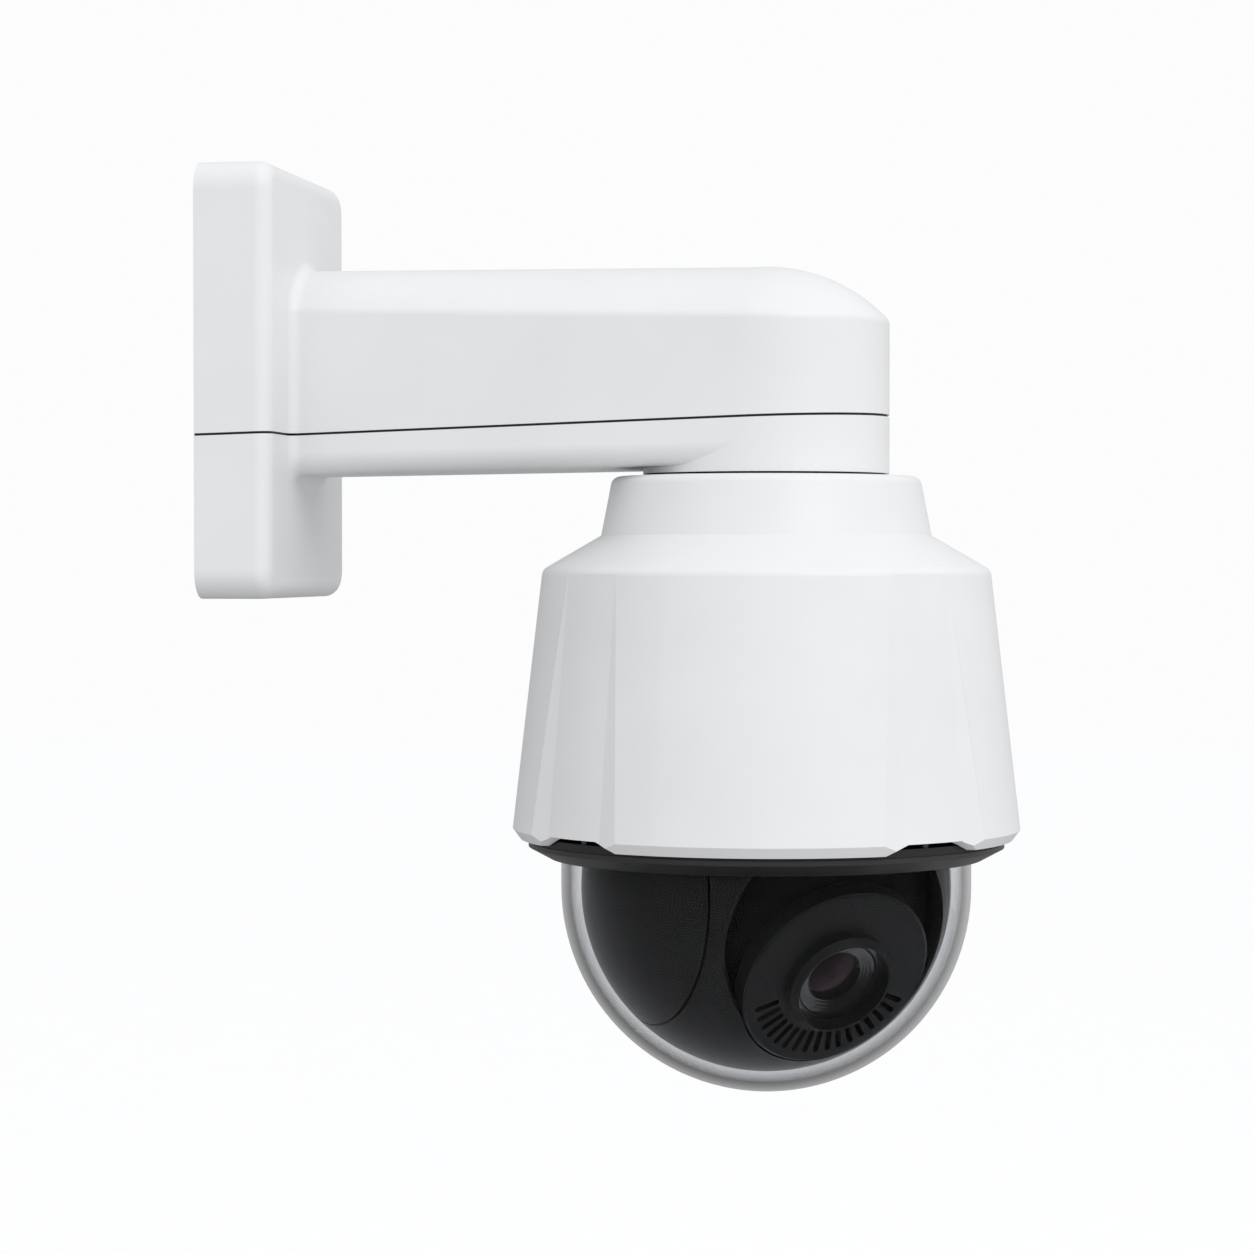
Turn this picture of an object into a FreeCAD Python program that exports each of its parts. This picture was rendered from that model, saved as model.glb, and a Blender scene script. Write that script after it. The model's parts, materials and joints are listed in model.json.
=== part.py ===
import FreeCAD, Part
import math
import os

# Outdoor pan-tilt dome camera on a wall arm.
# Origin: centre of the wall plate's back face. +X leaves the wall, +Z is up. Sizes in millimetres.

V = FreeCAD.Vector
Z_AXIS = V(0, 0, 1)
Y_AXIS = V(0, 1, 0)
X_AXIS = V(1, 0, 0)

# ---------------------------------------------------------------- driving dimensions
# Wall plate section of the bracket
plate_width = 113.0
plate_height = 162.0
plate_depth = 29.0
plate_corner = 10.5
plate_edge = 6.0
wall_gap = 0.3
bolt_spacing_y = 70.0
bolt_spacing_z = 120.0
bolt_hole_radius = 3.25
cable_hole_radius = 16.0
steel_plate = 3.0
wall_seal_width = 4.0
hook_y = 30.0
hook_width = 14.0
hook_z = 60.0
hook_reach = 13.0
hook_lip = 10.0
lock_screw_y = 25.0
lock_screw_x = 12.0
lock_tab_z = -70.0
lock_tab_half_width = 8.0

# Arm and hub of the bracket
hub_x = 206.0
arm_half_width = 27.0
arm_floor_z = -34.4
arm_floor_rise = 2.9
arm_side_top_z = 27.5
arm_ridge_z = 44.1
arm_floor_fillet = 8.0
arm_crown_fillet = 4.0
arm_root_fillet = 4.0
hub_radius = 46.2
hub_bottom_z = -34.3
hub_crown_z = 43.3
hub_crown_radius = 62.4
shell_wall = 3.5
parting_z = -20.3
parting_slope = 1.7
parting_gap = 0.9
parting_seal_inset = 0.8
shell_screw_radius = 2.0
shell_boss_radius = 5.0
shell_boss_length = 14.0
shell_head_radius = 3.5
shell_head_depth = 4.0
shell_screw_angles = (60.0, 100.0)

# Camera head, all round the hub's axis
head_turn = 3.0
hub_seal = 1.0
collar_top_radius = 57.7
collar_bottom_radius = 62.0
collar_height = 22.1
collar_fillet = 3.5
shoulder_radius = 84.0
shoulder_height = 12.8
shoulder_fillet = 4.0
skirt_radius = 95.2
skirt_height = 96.8
skirt_chamfer = 2.8
skirt_lip = 3.8
shield_wall = 3.0
panel_count = 4
panel_half_angle_top = 35.5
panel_half_angle_bottom = 30.2
pleat_angle = 0.3
recess_depth = 2.5
shield_screw_place = 34.0
shield_screw_radius = 1.5
shield_head_radius = 2.75
shield_head = 1.8
housing_radius = 78.0
housing_wall = 3.0
housing_neck_height = 22.0
housing_slope_height = 16.0
neck_radius = 50.0
flange_thickness = 3.0
flange_inset = 0.7

# Hollow neck that hangs the head from the hub
nipple_radius = 16.0
nipple_bore_radius = 12.0
nipple_thread_reach = 5.0
nipple_flange_radius = 24.0
nipple_flange = 3.0
nipple_seal_height = 1.0
locknut_height = 7.0
locknut_radius = 21.0
grommet_hole_radius = 4.0
grommet_depth = 8.0
grommet_lip = 3.0

# Dome ring and bubble
ring_radius = 89.3
ring_lip_radius = 81.5
ring_height = 6.0
ring_gap = 1.2
ring_rim = 1.8
ring_screw_inset = 2.6
ring_screw_radius = 1.2
ring_screw_head = 2.0
ring_screw_hole = 2.6
ring_screw_bite = 2.2
bubble_radius = 77.0
bubble_wall = 3.0
bubble_neck = 13.0
bubble_flange = 3.0
bubble_flange_overlap = 7.0
dome_seal = 1.0

# Chassis inside the housing
chassis_thickness = 3.0
chassis_hole = 13.0
chassis_boss_radius = 4.0
chassis_screw_radius = 1.5
chassis_screw_inset = 5.0
board_radius = 54.0
board_thickness = 1.6
board_height = 24.4
standoff_place = 46.0
standoff_angles = (60, -60, 120, -120)
standoff_radius = 2.5
jack_width = 16.0
jack_depth = 21.0
jack_height = 13.0
jack_wall = 2.0
fan_size = 30.0
fan_height = 10.0
fan_radius = 14.0
fan_place = 57.0
fan_hub_radius = 6.5
fan_spindle = 1.0
fan_blades = 6
fan_blade_pitch = 35.0

# Pan drive
pan_rest = -54.0
pan_gear_teeth = 60
pan_pinion_teeth = 12
pan_module = 1.6
gear_height = 5.0
pinion_shaft = 2.5
motor_radius = 15.5
motor_height = 17.0
bearing_bore = 28.0
bearing_seat = 36.0
bearing_height = 6.0
bearing_ball_radius = 1.5
bearing_ball_count = 28
bearing_race_gap = 1.1
turntable_thickness = 3.0
turntable_lift = 4.5
turntable_hub_bore = 24.0
slip_ring_radius = 12.0
slip_ring_flange = 20.0
slip_ring_height = 14.0
slip_ring_shaft = 8.0

# Tilt drive and ball
ball_radius = 69.5
ball_wall = 2.2
yoke_inset = 19.5
yoke_arm_thickness = 4.0
yoke_half_width = 16.0
yoke_foot = 12.0
yoke_foot_thickness = 3.0
yoke_screw_inset = 6.0
yoke_screw_half_gap = 9.0
tilt_rest = 29.0
tilt_gear_teeth = 60
tilt_pinion_teeth = 12
tilt_module = 1.0
tilt_gear_width = 3.0
tilt_axle_radius = 5.0
tilt_axle_flange = 9.0
tilt_motor_radius = 11.5
tilt_motor_length = 20.0
tilt_shaft = 1.5
bush_wall = 2.5
bush_flange = 1.5
opening_half_angle = 40.0
opening_lift = 14.0
cowl_inset = 8.0
cowl_wall = 2.0

# Lens unit, distances from the ball's centre along the lens axis
face_radius = 36.5
face_inset = 9.5
face_thickness = 2.5
face_skirt = 8.0
lens_radius = 14.5
barrel_radius = 17.0
barrel_rear = 6.0
collar_radius = 20.2
lens_collar_length = 6.0
vent_count = 17
vent_pitch = 8.6
vent_width = 2.3
vent_inner_gap = 3.8
vent_outer_gap = 5.2
zoom_start = 36.5
zoom_length = 6.0
focus_start = 18.0
focus_length = 5.0
cell_glass_radius = 8.5
guide_rod_radius = 1.0
guide_rod_place = 11.5
iris_distance = 33.0
iris_thickness = 1.2
iris_radius = 4.0
sensor_board_half = 18.0
cradle_corner_gap = 2.7
cradle_thickness = 2.5
cradle_height = 16.0
cradle_front = 33.0
cradle_rear = -18.0
cradle_motor_end = 8.0

# Clearances
running = 0.05
assembly = 0.3
moving_gap = 0.7

# ---------------------------------------------------------------- heights worked out from the above
shield_top_z = hub_bottom_z - hub_seal
collar_bottom_z = shield_top_z - collar_height
shoulder_z = collar_bottom_z - shoulder_height
skirt_bottom_z = shoulder_z - skirt_height
shield_end_z = skirt_bottom_z - skirt_lip
housing_top_z = shield_top_z - shell_wall
ring_top_z = shield_end_z - ring_gap
ring_bottom_z = ring_top_z - ring_height
bubble_top_z = ring_top_z - dome_seal
ball_z = bubble_top_z - bubble_flange - bubble_neck
turntable_z = ball_z + ball_radius + turntable_lift
gear_z = turntable_z + turntable_thickness
bearing_z = gear_z + gear_height + 1.5
chassis_z = bearing_z + bearing_height
chassis_top_z = chassis_z + chassis_thickness
board_z = chassis_top_z + board_height
pan_centre_distance = pan_module * (pan_gear_teeth + pan_pinion_teeth) / 2
tilt_centre_distance = tilt_module * (tilt_gear_teeth + tilt_pinion_teeth) / 2
yoke_plane = ball_radius - yoke_inset
ball_half_width = yoke_plane - moving_gap
yoke_arm_y = yoke_plane + 1.0
cowl_radius = ball_radius - cowl_inset
face_distance = ball_radius - face_inset
cradle_reach = ball_radius - ball_wall - cradle_corner_gap
cradle_corner = math.hypot(tilt_centre_distance + cradle_motor_end, cradle_height)
cradle_y = math.sqrt(cradle_reach ** 2 - cradle_corner ** 2) - cradle_thickness


# ---------------------------------------------------------------- shape helpers
def cylinder(radius, low, high, x=0.0, y=0.0):
    """Upright round bar from height low to height high."""
    return Part.makeCylinder(radius, high - low, V(x, y, low))


def tube(inner, outer, low, high, x=0.0, y=0.0):
    """Upright ring."""
    return cylinder(outer, low, high, x, y).cut(cylinder(inner, low - 1, high + 1, x, y))


def bar_y(radius, start, end, x=0.0, z=0.0):
    """Round bar along Y from start to end."""
    low, high = min(start, end), max(start, end)
    return Part.makeCylinder(radius, high - low, V(x, low, z), Y_AXIS)


def bar_x(radius, start, end, y=0.0, z=0.0):
    """Round bar along X from start to end."""
    return Part.makeCylinder(radius, end - start, V(start, y, z), X_AXIS)


def block(x_range, y_range, z_range):
    """Box given by its low and high corner along each axis."""
    low = V(min(x_range), min(y_range), min(z_range))
    high = V(max(x_range), max(y_range), max(z_range))
    return Part.makeBox(high.x - low.x, high.y - low.y, high.z - low.z, low)


def revolved(points):
    """Solid of revolution about Z from an outline of (radius, height) points."""
    outline = [V(radius, 0, height) for radius, height in points]
    face = Part.Face(Part.makePolygon(outline + outline[:1]))
    return face.revolve(V(0, 0, 0), Z_AXIS, 360)


def revolved_x(points):
    """Solid of revolution about X from an outline of (distance along X, radius) points."""
    outline = [V(along, 0, radius) for along, radius in points]
    face = Part.Face(Part.makePolygon(outline + outline[:1]))
    return face.revolve(V(0, 0, 0), X_AXIS, 360)


def joined(shapes):
    """One solid from overlapping shapes, with every seam between them kept."""
    body, *others = shapes
    for other in others:
        body = body.fuse(other)
    return body


def fused(shapes):
    """One solid from overlapping shapes, with faces merged where they continue each other."""
    return joined(shapes).removeSplitter()


def group(shapes):
    """Separate identical solids kept in one file."""
    return Part.makeCompound(list(shapes))


def around(shape, angles):
    """Copies of a shape turned about Z to each angle."""
    copies = []
    for angle in angles:
        copy = shape.copy()
        copy.rotate(V(0, 0, 0), Z_AXIS, angle)
        copies.append(copy)
    return copies


def polar(radius, angle):
    """Point on a circle about Z, angle in degrees from +X."""
    return radius * math.cos(math.radians(angle)), radius * math.sin(math.radians(angle))


def screw(radius, length, head_radius, head_height, drive=1.5):
    """Cap screw along +Z: the head's underside at height 0, a hexagon socket in the head."""
    head = cylinder(head_radius, -head_height, 0)
    socket = prism(6, drive, -head_height - 0.1, -head_height * 0.4)
    return head.fuse(cylinder(radius, 0, length)).cut(socket).removeSplitter()


def prism(sides, inner_radius, low, high):
    """Regular upright prism given by the radius of the circle inside it."""
    corner_radius = inner_radius / math.cos(math.pi / sides)
    corners = [V(*polar(corner_radius, 360.0 * i / sides), low) for i in range(sides + 1)]
    return Part.Face(Part.makePolygon(corners)).extrude(V(0, 0, high - low))


def rounded_panel(width, height, corner, x_low, x_high):
    """Rectangle with rounded corners in the YZ plane, extruded along X."""
    panel = block((x_low, x_high), (-width / 2, width / 2), (-height / 2, height / 2))
    along_x = [edge for edge in panel.Edges if abs(edge.tangentAt(edge.FirstParameter).x) > 0.9]
    return panel.makeFillet(corner, along_x)


def gear(teeth, module, low, high, bore, half_tooth_turn=False):
    """Spur gear about Z with slim straight-flanked teeth, so that a coupled pair keeps backlash."""
    root = module * (teeth / 2 - 1.2)
    tip = module * (teeth / 2 + 0.8)
    pitch = 360.0 / teeth
    start = pitch / 2 if half_tooth_turn else 0.0
    outline = []
    for tooth in range(teeth):
        middle = start + tooth * pitch
        for radius, offset in ((root, -0.25), (tip, -0.1), (tip, 0.1), (root, 0.25)):
            outline.append(V(*polar(radius, middle + offset * pitch), low))
    blank = Part.Face(Part.makePolygon(outline + outline[:1])).extrude(V(0, 0, high - low))
    return blank.cut(cylinder(bore, low - 1, high + 1)) if bore else blank


# ---------------------------------------------------------------- placing
def at_hub(shape, turn=0.0):
    """From the head's own frame to the row: turned about its axis and moved under the hub."""
    shape.rotate(V(0, 0, 0), Z_AXIS, turn)
    shape.translate(V(hub_x, 0, 0))
    return shape


def on_head(shape):
    return at_hub(shape, head_turn)


def on_pan(shape):
    return at_hub(shape, pan_rest)


def on_tilt(shape):
    """From the lens frame (lens along +X, ball centre at the origin) to the row at rest."""
    shape.rotate(V(0, 0, 0), Y_AXIS, tilt_rest)
    shape.translate(V(0, 0, ball_z))
    return on_pan(shape)


# ---------------------------------------------------------------- bracket
def arm_flare():
    """Angle by which each side of the arm leans outward so that it meets the hub at a tangent."""
    reach = hub_x - plate_depth
    return math.asin(hub_radius / math.hypot(reach, arm_half_width)) - math.atan2(arm_half_width, reach)


def arm_section(x, inset):
    """Closed outline of the arm at x: flat floor, upright sides, arched crown."""
    tangent_x = hub_x - hub_radius * math.sin(arm_flare())
    crown_centre = hub_crown_z - hub_crown_radius
    offset = hub_x - tangent_x
    tip_radius = hub_crown_radius - inset
    tip_half = math.sqrt((hub_radius - inset) ** 2 - offset ** 2)
    tip_side = crown_centre + math.sqrt(tip_radius ** 2 - (hub_radius - inset) ** 2)
    tip_ridge = crown_centre + math.sqrt(tip_radius ** 2 - offset ** 2)
    share = (x - plate_depth) / (tangent_x - plate_depth)
    half = (arm_half_width - inset) + (tip_half - arm_half_width + inset) * share
    floor = arm_floor_z + inset + arm_floor_rise * share
    side = (arm_side_top_z - inset) + (tip_side - arm_side_top_z + inset) * share
    ridge = (arm_ridge_z - inset) + (tip_ridge - arm_ridge_z + inset) * share
    right_low, right_high = V(x, half, floor), V(x, half, side)
    left_high, left_low = V(x, -half, side), V(x, -half, floor)
    edges = [
        Part.LineSegment(left_low, right_low).toShape(),
        Part.LineSegment(right_low, right_high).toShape(),
        Part.Arc(right_high, V(x, 0, ridge), left_high).toShape(),
        Part.LineSegment(left_high, left_low).toShape(),
    ]
    return Part.Wire(edges), tangent_x


def arm_loft(inset):
    """Arm from inside the plate to the plane where its sides meet the hub."""
    start_x = plate_depth - inset - plate_edge
    tangent_x = arm_section(plate_depth, inset)[1]
    loft = Part.makeLoft([arm_section(start_x, inset)[0], arm_section(tangent_x, inset)[0]], True, True)
    floor_edges = [edge for edge in loft.Edges
                   if edge.BoundBox.XLength > 20 and edge.BoundBox.ZMax < arm_floor_z + inset + 5]
    return loft.makeFillet(arm_floor_fillet - inset, floor_edges)


def hub_solid(inset):
    """Round end of the arm under a shallow spherical crown."""
    radius = hub_radius - inset
    low = hub_bottom_z + inset
    crown_radius = hub_crown_radius - inset
    crown_centre = hub_crown_z - hub_crown_radius

    def crown_point(distance):
        return V(distance, 0, crown_centre + math.sqrt(crown_radius ** 2 - distance ** 2))

    outline = [Part.LineSegment(V(0, 0, low), V(radius, 0, low)).toShape(),
               Part.LineSegment(V(radius, 0, low), crown_point(radius)).toShape(),
               Part.Arc(crown_point(radius), crown_point(radius / 2), crown_point(0)).toShape(),
               Part.LineSegment(crown_point(0), V(0, 0, low)).toShape()]
    solid = Part.Face(Part.Wire(outline)).revolve(V(0, 0, 0), Z_AXIS, 360)
    solid.translate(V(hub_x, 0, 0))
    return solid


def bracket_solid(inset):
    """Plate, arm and hub as one solid with its outer faces moved in by inset."""
    plate = rounded_panel(plate_width - 2 * inset, plate_height - 2 * inset, plate_corner - inset,
                          wall_gap, plate_depth - inset)
    front_edges = [edge for edge in plate.Edges if edge.BoundBox.XMin > plate_depth - inset - 0.01]
    plate = plate.makeFillet(plate_edge - inset, front_edges)
    return fused([plate, arm_loft(inset), hub_solid(inset)])


def bracket_outer():
    """Outer form of the bracket with its softened crown edges and the fillet at the arm's root."""
    body = bracket_solid(0.0)
    rim_low = arm_side_top_z - 10
    crown_edges = [edge for edge in body.Edges
                   if edge.BoundBox.ZMin > rim_low and edge.BoundBox.ZMax < arm_side_top_z + 2
                   and edge.BoundBox.XMin > plate_depth - 1 and edge.Length > 30]
    body = body.makeFillet(arm_crown_fillet, crown_edges)
    root_edges = [edge for edge in body.Edges
                  if abs(edge.BoundBox.XMin - plate_depth) < 0.01
                  and abs(edge.BoundBox.XMax - plate_depth) < 0.01
                  and edge.BoundBox.YMax < arm_half_width + 1
                  and edge.BoundBox.YMin > -arm_half_width - 1]
    return body.makeFillet(arm_root_fillet, root_edges)


def parting_height(x):
    """Height of the shells' parting plane."""
    return parting_z + x * math.tan(math.radians(parting_slope))


def half_space(above, shift):
    """Large box on one side of the parting plane, moved by shift along Z."""
    reach = 400.0
    low, high = (0.0, reach) if above else (-reach, 0.0)
    box = block((-reach, reach), (-reach, reach), (low, high))
    box.rotate(V(0, 0, 0), Y_AXIS, -parting_slope)
    box.translate(V(0, 0, parting_z + shift))
    return box


def shell_screw_places():
    """(x, y, outer floor height) of the screws round the hub that hold the two shells together."""
    into_wall = 1.5 - shell_wall - shell_boss_radius
    places = []
    for angle in shell_screw_angles:
        x, y = polar(hub_radius + into_wall, angle)
        places += [(hub_x + x, side * y, hub_bottom_z) for side in (-1, 1)]
    return places


def arm_lower_shell(outer, cavity):
    below = half_space(False, -parting_gap / 2)
    shell = outer.cut(cavity).common(below)
    bosses = [cylinder(shell_boss_radius, floor + 0.5, parting_height(x) + 2, x, y)
              for x, y, floor in shell_screw_places()]
    base = -plate_height / 2
    lock_bosses = [cylinder(shell_boss_radius, base + 1, lock_tab_z - assembly, lock_screw_x, side)
                   for side in (-lock_screw_y, lock_screw_y)]
    inner_bosses = [boss.common(outer).common(below) for boss in bosses]
    shell = joined([shell] + inner_bosses + lock_bosses)
    for x, y, floor in shell_screw_places():
        shell = shell.cut(cylinder(shell_screw_radius + assembly, floor - 1, parting_height(x) + 3, x, y))
        shell = shell.cut(cylinder(shell_head_radius + assembly, floor - 6, floor + shell_head_depth, x, y))
    for side in (-lock_screw_y, lock_screw_y):
        shell = shell.cut(cylinder(shell_screw_radius + assembly, base - 1, 0, lock_screw_x, side))
        head_room = shell_head_radius + assembly
        shell = shell.cut(cylinder(head_room, base - 1, base + shell_head_depth, lock_screw_x, side))
    return shell.cut(cylinder(nipple_radius + assembly, hub_bottom_z - 1, hub_bottom_z + 10, hub_x))


def arm_upper_shell(outer, cavity):
    above = half_space(True, parting_gap / 2)
    shell = outer.cut(cavity).common(above)
    pieces = [shell]
    for x, y, floor in shell_screw_places():
        post = cylinder(shell_boss_radius, parting_height(x) - 2, parting_height(x) + shell_boss_length, x, y)
        pieces.append(post.common(outer).common(above))
    for side in (-1, 1):
        catch_y = (side * (hook_y - hook_width / 2), side * (hook_y + hook_width / 2))
        catch = block((steel_plate + 1, hook_reach - steel_plate - assembly), catch_y,
                      (hook_z + steel_plate + assembly, plate_height / 2 - 1))
        pieces.append(catch)
    shell = joined(pieces)
    for x, y, floor in shell_screw_places():
        hole_top = parting_height(x) + shell_boss_length - 3
        shell = shell.cut(cylinder(shell_screw_radius, parting_height(x) - 3, hole_top, x, y))
    return shell


def shell_gasket(cavity):
    """Thin seal that fills the parting gap, set back from the outer surface."""
    slab = half_space(True, -parting_gap / 2).common(half_space(False, parting_gap / 2))
    return bracket_solid(parting_seal_inset).cut(cavity).common(slab)


def shell_screws():
    screws = []
    for x, y, floor in shell_screw_places():
        length = parting_height(x) + shell_boss_length - 4 - floor - shell_head_depth
        one = screw(shell_screw_radius, length, shell_head_radius, shell_head_depth - 0.5)
        one.translate(V(x, y, floor + shell_head_depth))
        screws.append(one)
    return group(screws)


def wall_plate():
    """Steel plate on the wall with four bolt holes and a cable hole."""
    inset = shell_wall + wall_seal_width
    corner = plate_corner - shell_wall
    plate = rounded_panel(plate_width - 2 * inset, plate_height - 2 * inset, corner, 0, steel_plate)
    for y in (-bolt_spacing_y / 2, bolt_spacing_y / 2):
        for z in (-bolt_spacing_z / 2, bolt_spacing_z / 2):
            plate = plate.cut(bar_x(bolt_hole_radius, -1, steel_plate + 1, y, z))
    return plate.cut(bar_x(cable_hole_radius, -1, steel_plate + 1))


def wall_plate_tabs():
    """Hooks that the upper shell hangs on and tapped tabs for the lock screws, welded to the plate."""
    pieces = []
    for side in (-1, 1):
        hook_span = (side * (hook_y - hook_width / 2), side * (hook_y + hook_width / 2))
        shelf = block((steel_plate, hook_reach), hook_span, (hook_z, hook_z + steel_plate))
        lip = block((hook_reach - steel_plate, hook_reach), hook_span, (hook_z, hook_z + hook_lip))
        pieces.append(fused([shelf, lip]))
        tab_span = (side * (lock_screw_y - lock_tab_half_width), side * (lock_screw_y + lock_tab_half_width))
        tab_end = lock_screw_x + lock_tab_half_width
        tab = block((steel_plate, tab_end), tab_span, (lock_tab_z, lock_tab_z + steel_plate))
        tapped_top = lock_tab_z + steel_plate + 1
        tapped = cylinder(shell_screw_radius, lock_tab_z - 1, tapped_top, lock_screw_x, side * lock_screw_y)
        pieces.append(tab.cut(tapped))
    return group(pieces)


def lock_screws():
    screws = []
    for side in (-lock_screw_y, lock_screw_y):
        base = -plate_height / 2 + shell_head_depth
        length = lock_tab_z + steel_plate + 2 - base
        one = screw(shell_screw_radius, length, shell_head_radius, shell_head_depth - 0.5)
        one.translate(V(lock_screw_x, side, base))
        screws.append(one)
    return group(screws)


def wall_gasket():
    """Rubber frame that seals the gap between the steel plate and the shells' rim."""
    inset = shell_wall + assembly / 2
    hole_inset = shell_wall + wall_seal_width - assembly / 2
    rim = rounded_panel(plate_width - 2 * inset, plate_height - 2 * inset, plate_corner - shell_wall,
                        0, steel_plate)
    hole = rounded_panel(plate_width - 2 * hole_inset, plate_height - 2 * hole_inset,
                         plate_corner - shell_wall, -1, steel_plate + 1)
    return rim.cut(hole)


# ---------------------------------------------------------------- joint between hub and head


def hub_gasket():
    ring = tube(nipple_radius + assembly, hub_radius - 1.5, shield_top_z, hub_bottom_z)
    return on_head(ring)


def pendant_nipple():
    """Hollow threaded neck: its flange sits inside the housing and its thread passes up into the hub."""
    flange_top = housing_top_z - shell_wall - nipple_seal_height
    top = hub_bottom_z + shell_wall + locknut_height + nipple_thread_reach
    body = fused([cylinder(nipple_radius, flange_top - nipple_flange, top),
                  cylinder(nipple_flange_radius, flange_top - nipple_flange, flange_top)])
    return on_head(body.cut(cylinder(nipple_bore_radius, flange_top - 20, top + 1)))


def nipple_seal():
    top = housing_top_z - shell_wall
    return on_head(tube(nipple_radius + assembly, nipple_flange_radius - 0.5, top - nipple_seal_height, top))


def pendant_locknut():
    low = hub_bottom_z + shell_wall
    nut = prism(6, locknut_radius, low, low + locknut_height)
    return on_head(nut.cut(cylinder(nipple_radius + running, low - 1, low + locknut_height + 1)))


def cable_grommet():
    """Rubber plug with a cable hole, pushed up into the nipple's bore."""
    low = housing_top_z - shell_wall - nipple_seal_height - nipple_flange
    plug = fused([cylinder(nipple_bore_radius - running, low, low + grommet_depth),
                  cylinder(nipple_bore_radius + grommet_lip, low - grommet_lip, low)])
    return on_head(plug.cut(cylinder(grommet_hole_radius, low - grommet_lip - 1, low + grommet_depth + 1)))


# ---------------------------------------------------------------- weather shield
def recess_section(z, depth_share):
    """Outline that cuts one recess at height z: the pleats slope in to the recessed panel."""
    proud = shoulder_radius + (skirt_radius - shoulder_radius) * depth_share
    deep = proud - recess_depth * depth_share - 0.02
    edge = panel_half_angle_top - (panel_half_angle_top - panel_half_angle_bottom) * depth_share
    inner = panel_half_angle_top + pleat_angle
    outer_radius = skirt_radius + 30
    middle = 180.0 / panel_count

    def corner(radius, angle):
        return V(*polar(radius, angle), z)

    left, right = edge, 2 * middle - edge
    in_left, in_right = inner, 2 * middle - inner
    points = [corner(outer_radius, left), corner(proud + 0.01, left), corner(deep, in_left)]
    mirrored = [corner(deep, in_right), corner(proud + 0.01, right), corner(outer_radius, right)]
    lines = [Part.LineSegment(a, b).toShape() for a, b in zip(points, points[1:])]
    lines.append(Part.Arc(points[-1], corner(deep, middle), mirrored[0]).toShape())
    lines += [Part.LineSegment(a, b).toShape() for a, b in zip(mirrored, mirrored[1:])]
    lines.append(Part.Arc(mirrored[-1], corner(outer_radius, middle), points[0]).toShape())
    return Part.Wire(lines)


def recess_step():
    """Ring that trims the skirt's lower edge, except at the proud panels, whose corners slope down to it."""
    low, high = shield_end_z, skirt_bottom_z
    top_half = skirt_radius * math.sin(math.radians(panel_half_angle_top + pleat_angle))
    bottom_half = skirt_radius * math.sin(math.radians(panel_half_angle_bottom))
    corners = [V(0, -top_half, high + 1), V(0, -top_half, high), V(0, -bottom_half, low),
               V(0, bottom_half, low), V(0, top_half, high), V(0, top_half, high + 1)]
    panel = Part.Face(Part.makePolygon(corners + corners[:1])).extrude(V(2 * skirt_radius, 0, 0))
    trim = cylinder(skirt_radius + 20, low - 1, high)
    for kept in around(panel, panel_angles()):
        trim = trim.cut(kept)
    return trim


def panel_angles():
    return [360.0 * i / panel_count - 90 for i in range(panel_count)]


def weather_shield():
    """White cover: collar, sloping shoulder and pleated skirt, open below."""
    wall = shield_wall
    inner_skirt = skirt_radius - recess_depth - wall
    outer = revolved([(0, shield_top_z), (collar_top_radius, shield_top_z),
                      (collar_bottom_radius, collar_bottom_z), (shoulder_radius, shoulder_z),
                      (skirt_radius, skirt_bottom_z), (skirt_radius - skirt_chamfer, shield_end_z),
                      (0, shield_end_z)])
    rims = [edge for edge in outer.Edges
            if abs(edge.BoundBox.ZMin - shield_top_z) < 0.01 and edge.Closed]
    outer = outer.makeFillet(collar_fillet, rims)
    rims = [edge for edge in outer.Edges if abs(edge.BoundBox.ZMax - shoulder_z) < 0.01
            and edge.Closed and edge.Length > 6 * (shoulder_radius - 5)]
    outer = outer.makeFillet(shoulder_fillet, rims)
    extend = 1.1
    top = recess_section(shoulder_z, 0.0)
    bottom = recess_section(shoulder_z + (skirt_bottom_z - shoulder_z) * extend, extend)
    recess = Part.makeLoft([top, bottom], True, True)
    for cut in around(recess, panel_angles()):
        outer = outer.cut(cut)
    outer = outer.cut(recess_step())
    inner = revolved([(0, housing_top_z), (collar_top_radius - wall - 0.7, housing_top_z),
                      (collar_bottom_radius - wall - 0.3, collar_bottom_z - wall / 3),
                      (shoulder_radius - wall - 0.4, shoulder_z - wall / 2),
                      (inner_skirt, shield_end_z - 1), (0, shield_end_z - 1)])
    shield = outer.cut(inner).cut(cylinder(nipple_radius + assembly, housing_top_z - 1, shield_top_z + 1))
    for x, y in shield_screw_places():
        shank_room, head_room = shield_screw_radius + assembly, shield_head_radius + assembly
        shield = shield.cut(cylinder(shank_room, housing_top_z - 1, shield_top_z + 1, x, y))
        shield = shield.cut(cylinder(head_room, shield_top_z - shield_head, shield_top_z + 1, x, y))
    return on_head(shield)


def shield_screw_places():
    return [polar(shield_screw_place, angle) for angle in (30, 150, 270)]


def shield_screws():
    screws = []
    for x, y in shield_screw_places():
        length = shell_wall * 2 - shield_head - 0.5
        one = screw(shield_screw_radius, length, shield_head_radius, shield_head - 0.1, 1.0)
        one.rotate(V(0, 0, 0), X_AXIS, 180)
        one.translate(V(x, y, shield_top_z - shield_head))
        screws.append(one)
    return on_head(group(screws))


# ---------------------------------------------------------------- housing, dome and ring


def quarter_places(radius, first):
    return [polar(radius, first + 90 * i) for i in range(4)]


def chassis_screw_places():
    return quarter_places(housing_radius - housing_wall - chassis_screw_inset, 45)


def ring_screw_places():
    return quarter_places(flange_radius() - ring_screw_inset, 45)


def flange_radius():
    return ring_radius - flange_inset


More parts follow.
